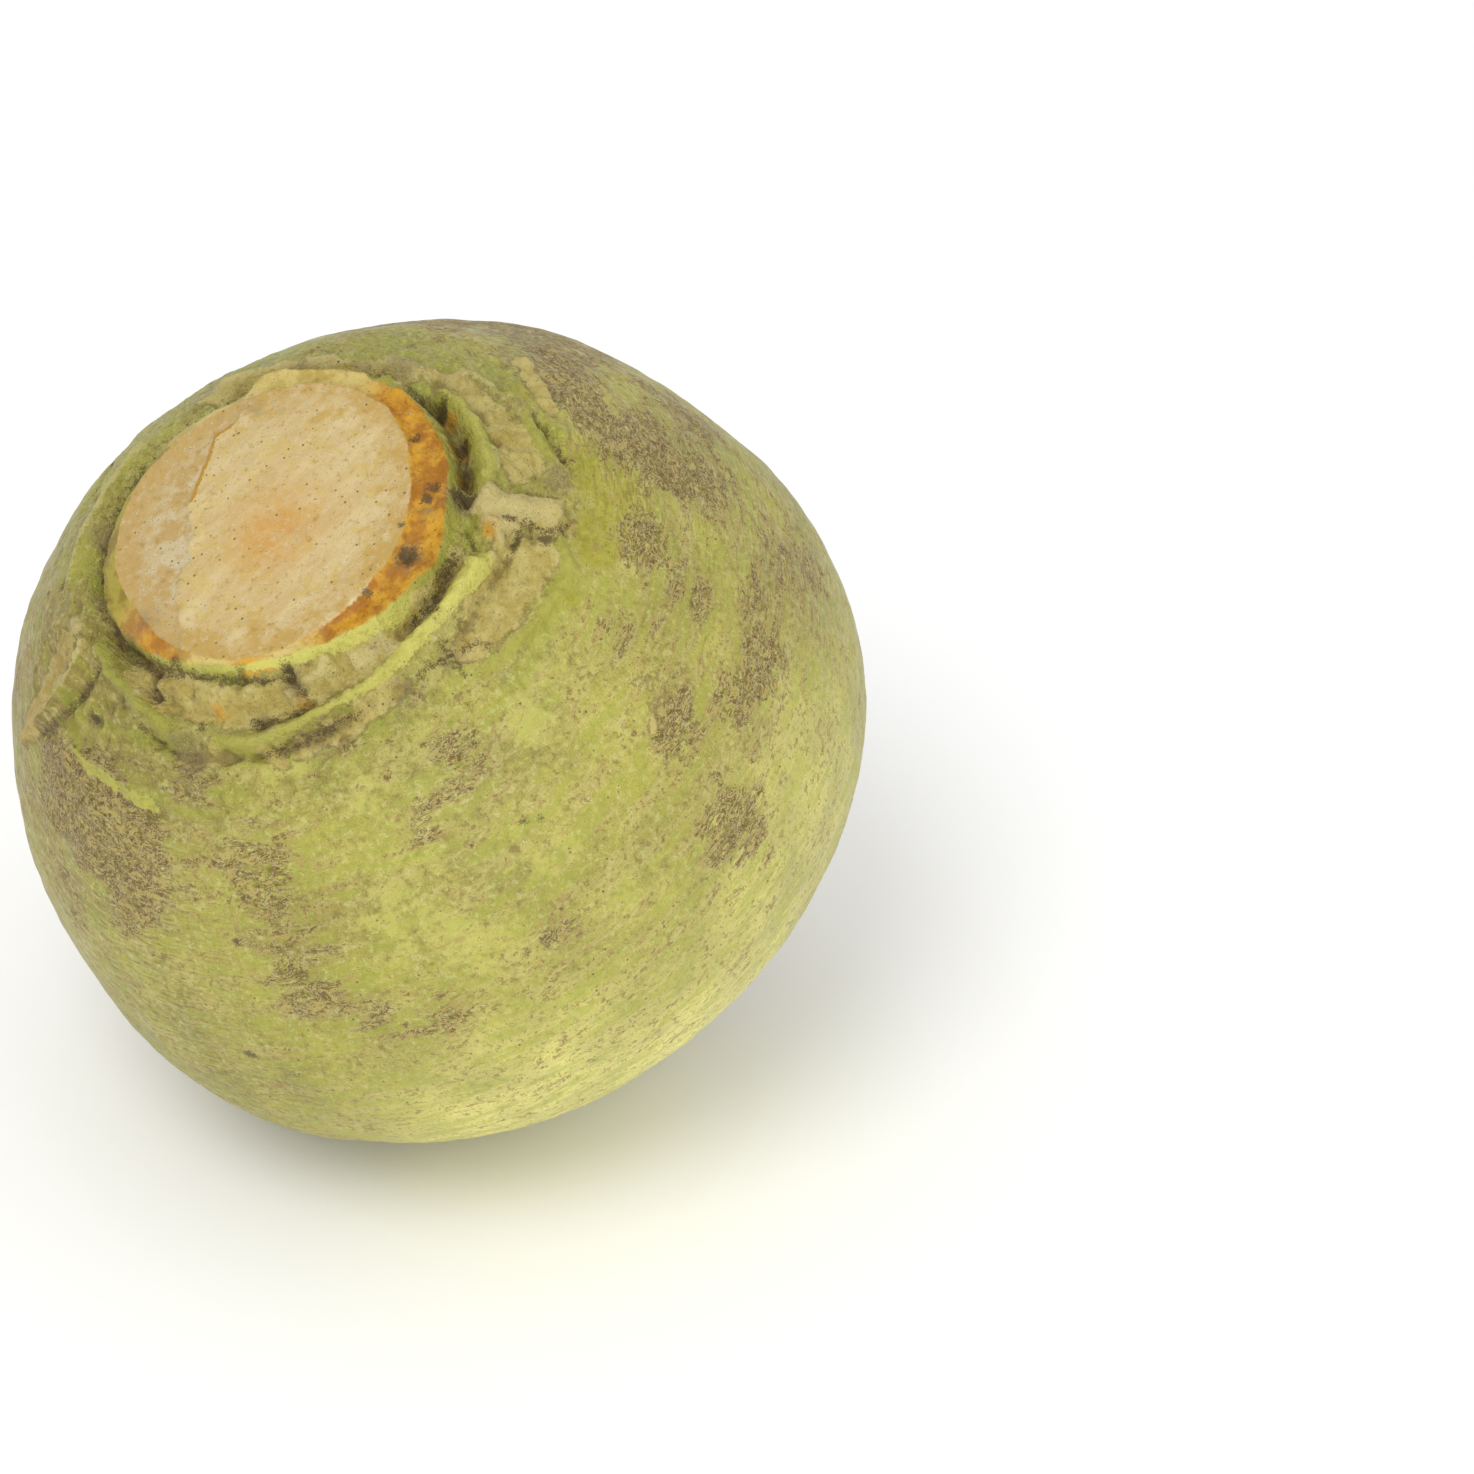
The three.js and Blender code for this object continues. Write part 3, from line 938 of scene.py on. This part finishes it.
    # The cork takes a third of the broad tone, with its painted light and shade.
    cork_colour = g.mix(0.35, cork_colour, g.colour("tone_and_painted_light"))
    cork = g.ragged(g.mask("tan"), soft_wander, 2.0, 0.09)
    skin = g.mix(g.times(cork, 0.92), skin, cork_colour)
    border = g.plus(g.mask("tan"), g.times(g.plus(soft_wander, -0.5), 2.0))
    border = g.times(g.lines(border, 0.06, 0.09), g.step(crumble, 0.42, 0.50))
    skin = g.mix(g.times(border, 0.5), skin, (0.13, 0.09, 0.025))
    amber = g.ragged(g.mask("amber"), crumble, 1.8, 0.30)
    skin = g.mix(g.times(amber, 0.8), skin, (0.52, 0.26, 0.02))
    ring = g.mask("ring")
    hollow = g.step(g.plus(g.times(net, 0.5), g.times(crumble, 0.5)), 0.55, 0.66)
    skin = g.mix(g.times(g.times(hollow, ring), 0.5), skin, (0.17, 0.12, 0.03))
    # Painted highlight on the ring's raised crests.
    painted_crest_light = g.ragged(g.mask("painted_crest_light"), crumble, 1.6, 0.2)
    skin = g.mix(g.times(painted_crest_light, 0.6), skin, (0.50, 0.42, 0.18))

    # Fresh green and yellow edges of the scars.
    edge_colour = g.mix(g.mask("yellow"), (0.20, 0.20, 0.012), (0.54, 0.505, 0.11))
    edge_colour = g.mix(g.times(g.step(crumble, 0.46, 0.32), 0.5), edge_colour, (0.27, 0.23, 0.03))
    edge_colour = g.mix(g.times(g.step(crumble, 0.57, 0.7), 0.4), edge_colour, (0.56, 0.53, 0.18))
    green = g.ragged(g.mask("green"), crumble, 1.5, 0.09)
    skin = g.mix(g.times(green, 0.92), skin, edge_colour)

    # The facet between the cut face and the rind.
    wet = g.mix(g.step(patchy, 0.38, 0.62), (0.33, 0.125, 0.002), (0.54, 0.28, 0.015))
    wet = g.mix(g.times(g.step(crumble, 0.44, 0.32), 0.6), wet, (0.20, 0.11, 0.02))
    wet = g.mix(g.times(g.step(crumble, 0.60, 0.72), 0.4), wet, (0.56, 0.42, 0.12))
    dry = g.mix(g.step(patchy, 0.4, 0.6), (0.40, 0.29, 0.06), (0.52, 0.41, 0.13))
    dry = g.mix(g.times(g.step(crumble, 0.46, 0.34), 0.5), dry, (0.30, 0.20, 0.05))
    mustard = g.mix(g.step(patchy, 0.4, 0.6), (0.22, 0.15, 0.010), (0.32, 0.26, 0.03))
    dry = g.mix(g.mask("mustard"), dry, mustard)
    facet_colour = g.mix(g.mask("orange"), dry, wet)
    facet = g.ragged(g.mask("facet"), fine, 0.5, 0.14)
    skin = g.mix(facet, skin, facet_colour)

    # The cut face: cream, blushed in the middle, peeled pale on one side, tan at its edge.
    knife = g.noise(g.scaled(g.turned(place, -0.55), (0.13, 0.34, 0.3)), 1.0, 3, 0.66)
    face_colour = g.mix(g.step(knife, 0.32, 0.68), (0.48, 0.345, 0.140), (0.56, 0.44, 0.215))
    face_colour = g.mix(g.times(g.step(patchy, 0.48, 0.60), 0.6), face_colour, (0.50, 0.37, 0.11))
    blush = g.mask("blush")
    face_colour = g.mix(g.times(blush, g.step(patchy, 0.3, 0.6, 0.5, 1.0)), face_colour, (0.51, 0.27, 0.06))
    peel = g.ragged(g.mask("peel"), soft_wander, 0.7, 0.12)
    peel_colour = g.mix(g.step(patchy, 0.40, 0.58), (0.40, 0.26, 0.080), (0.48, 0.40, 0.24))
    face_colour = g.mix(g.times(peel, 0.85), face_colour, peel_colour)
    rim_tan = g.step(g.plus(g.mask("face_edge"), g.times(g.plus(patchy, -0.5), 2.6)), 0.35, 1.2)
    face_colour = g.mix(g.times(rim_tan, 0.85), face_colour, (0.42, 0.265, 0.06))
    face_colour = g.mix(g.times(g.step(crumble, 0.54, 0.66), 0.55), face_colour, (0.60, 0.51, 0.32))
    face_colour = g.mix(g.times(g.step(crumble, 0.45, 0.32), 0.60), face_colour, (0.28, 0.17, 0.04))
    face_colour = g.mix(g.times(g.step(grain, 0.40, 0.28), 0.40), face_colour, (0.26, 0.17, 0.06))
    face = g.ragged(g.mask("face"), fine, 0.3, 0.07)
    skin = g.mix(face, skin, face_colour)
    crack_line = g.step(g.plus(g.mask("crack"), g.times(g.plus(fine, -0.5), 0.5)), 0.76, 0.84)
    skin = g.mix(g.times(crack_line, face), skin, (0.40, 0.21, 0.015))

    # Dirt, painted shade in the ring's hollows, near-black in the pits and grooves that is partly their own
    # dark and partly painted shade, and specks.
    grit = g.plus(g.times(crumble, 0.6), g.times(grain, 0.4))
    # Painted shade in the ring's hollows, darker where the relief sinks.
    painted_hollow_shade = g.ragged(g.mask("painted_hollow_shade"), grit, 1.8, 0.35)
    skin = g.mix(g.times(painted_hollow_shade, 0.50), skin, (0.12, 0.08, 0.022))
    dirt = g.ragged(g.mask("dirt"), grit, 3.4, 0.35)
    dirt_colour = g.mix(g.step(grain, 0.4, 0.6), (0.10, 0.07, 0.03), (0.27, 0.21, 0.10))
    skin = g.mix(g.times(dirt, 0.6), skin, dirt_colour)
    # Near-black in the grooves and pits: partly their own dark, partly painted shade.
    dark = g.ragged(g.mask("dark"), grit, 3.6, 0.20)
    skin = g.mix(g.times(dark, 0.80), skin, (0.065, 0.042, 0.016))
    near, chance = g.cells(place, 0.34)
    speck = g.times(g.step(near, 0.045, 0.065, 1.0, 0.0), g.step(chance, 0.60, 0.62))
    skin = g.mix(g.times(speck, 0.85), skin, (0.05, 0.04, 0.02))
    near, chance = g.cells(g.moved(place, (7.0, 3.0, 1.0)), 0.75)
    crowd = g.step(g.plus(patchy, g.times(g.mask("face"), 0.08)), 0.52, 0.62)
    speck = g.times(g.times(g.step(near, 0.12, 0.17, 1.0, 0.0), g.step(chance, 0.45, 0.47)), crowd)
    skin = g.mix(g.times(speck, 0.8), skin, (0.10, 0.075, 0.03))

    # Only a few noises feed the relief, because it is worked out three times at each point.
    rough_ring = g.plus(g.times(g.plus(ring, g.times(g.mask("face"), -0.8)), 0.45), 0.34)
    relief = g.plus(g.times(crumble, rough_ring), g.times(net, 0.30))

    bump = g.node("ShaderNodeBump")
    g.put(bump.inputs["Strength"], 0.85)
    g.put(bump.inputs["Distance"], MM)
    g.put(bump.inputs["Height"], relief)

    shader = g.node("ShaderNodeBsdfPrincipled")
    g.put(shader.inputs["Base Color"], skin)
    rough = g.plus(g.step(patchy, 0.35, 0.65, 0.38, 0.50), g.times(g.plus(scurf, cork), 0.12))
    g.put(shader.inputs["Roughness"], rough)
    g.put(shader.inputs["Specular IOR Level"], 0.30)
    g.put(shader.inputs["Normal"], bump.outputs["Normal"])
    out = g.node("ShaderNodeOutputMaterial")
    tree.links.new(shader.outputs["BSDF"], out.inputs["Surface"])
    return material


# ---------------------------------------------------------------- building it


def add_attribute(mesh, name, values):
    """Stores one number or one vector per point under name."""
    values = np.asarray(values, np.float32)
    if values.ndim == 1:
        made = mesh.attributes.new(name, "FLOAT", "POINT")
        made.data.foreach_set("value", values)
    else:
        made = mesh.attributes.new(name, "FLOAT_VECTOR", "POINT")
        made.data.foreach_set("vector", values.ravel())


def build_globe():
    """The root itself: mesh, masks and material. Gives the place of its own origin, in mm."""
    sphere, triangles = geodesic_sphere(SPHERE_STEPS)
    surface = Surface(drawn_to_crown(sphere))
    points, facts = shape_globe(surface)
    toward = math.radians(LEAN_TURN)
    hinge = Vector((-math.sin(toward), math.cos(toward), 0))
    lean = np.array(Matrix.Rotation(math.radians(LEAN), 3, hinge))
    points = press_flat(points, lean.T @ np.array([0, 0, -1.0]))

    placed = points @ lean.T
    low, high = placed.min(0), placed.max(0)
    centre = -np.array([(low[0] + high[0]) / 2, (low[1] + high[1]) / 2, low[2]])
    placed += centre

    mesh = bpy.data.meshes.new("kohlrabi_globe")
    mesh.from_pydata((placed * MM).tolist(), [], triangles.tolist())
    mesh.shade_smooth()
    arc = np.radians(surface.fall) * GIRTH_RADIUS
    add_attribute(mesh, "own_place", points)
    add_attribute(mesh, "along_place", np.stack([points[:, 0], points[:, 1], arc], 1))
    add_attribute(mesh, "tone_and_painted_light", tone_and_painted_light(surface))
    masks = paint_masks(surface, points, facts)
    turn, fall, reach = BLUSH
    masks["blush"] = np.exp(-((surface.from_place(turn, fall) / reach) ** 2))
    for name, values in masks.items():
        add_attribute(mesh, name, values)
    globe = bpy.data.objects.new("kohlrabi_globe", mesh)
    bpy.context.scene.collection.objects.link(globe)
    mesh.materials.append(skin_material())
    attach(globe, "root")
    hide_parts("kohlrabi")
    return centre


def add_floor():
    """A wide pale floor at height 0."""
    mesh = bpy.data.meshes.new("floor")
    half = FLOOR_HALF_WIDTH
    corners = [(-half, -half, 0), (half, -half, 0), (half, half, 0), (-half, half, 0)]
    mesh.from_pydata(corners, [], [(0, 1, 2, 3)])
    floor = bpy.data.objects.new("floor", mesh)
    bpy.context.scene.collection.objects.link(floor)
    material = bpy.data.materials.new("floor_white")
    material.use_nodes = True
    shader = material.node_tree.nodes["Principled BSDF"]
    shader.inputs["Base Color"].default_value = (FLOOR_GREY, FLOOR_GREY, FLOOR_GREY, 1)
    shader.inputs["Roughness"].default_value = FLOOR_ROUGHNESS
    shader.inputs["Specular IOR Level"].default_value = FLOOR_SPECULAR
    mesh.materials.append(material)


def add_light(name, place, size, energy):
    """A round soft light turned towards LOOK_AT."""
    light = bpy.data.lights.new(name, "AREA")
    light.shape = "DISK"
    light.size = size
    light.energy = energy
    obj = bpy.data.objects.new(name, light)
    obj.location = place
    obj.rotation_euler = (Vector(LOOK_AT) - Vector(place)).to_track_quat("-Z", "Y").to_euler()
    bpy.context.scene.collection.objects.link(obj)


def add_studio():
    """Plain white light from all round, and soft lights over it."""
    world = bpy.data.worlds.new("studio")
    bpy.context.scene.world = world
    world.use_nodes = True
    back = world.node_tree.nodes["Background"]
    back.inputs["Color"].default_value = (1, 1, 1, 1)
    back.inputs["Strength"].default_value = SKY_STRENGTH
    for name, place, size, energy in LIGHTS:
        add_light(name, place, size, energy)


def add_camera(centre):
    """The camera looks level with the image's upright, and the globe sits left of its axis."""
    tilt = math.radians(CAMERA_ELEVATION)
    up = np.array([0, math.sin(tilt), math.cos(tilt)])
    back = np.array([0, -math.cos(tilt), math.sin(tilt)])
    place = centre + np.array([CAMERA_ACROSS, 0, 0]) + CAMERA_UP * up + CAMERA_DISTANCE * back
    data = bpy.data.cameras.new("camera")
    data.lens = LENS
    data.sensor_width = SENSOR_WIDTH
    data.clip_start = NEAREST_SEEN
    data.clip_end = FURTHEST_SEEN
    camera = bpy.data.objects.new("camera", data)
    camera.location = Vector(place * MM)
    camera.rotation_euler = (math.pi / 2 - tilt, 0, 0)
    bpy.context.scene.collection.objects.link(camera)
    bpy.context.scene.camera = camera


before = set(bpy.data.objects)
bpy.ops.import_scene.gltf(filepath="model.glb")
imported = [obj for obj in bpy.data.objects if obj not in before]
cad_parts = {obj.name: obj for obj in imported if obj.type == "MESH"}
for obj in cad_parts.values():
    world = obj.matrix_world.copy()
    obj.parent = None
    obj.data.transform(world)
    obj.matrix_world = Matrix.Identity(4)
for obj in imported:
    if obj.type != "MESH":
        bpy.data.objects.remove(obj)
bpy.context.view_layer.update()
centre = build_globe()
add_floor()
add_studio()
add_camera(centre)
bpy.context.scene.view_settings.view_transform = "Standard"
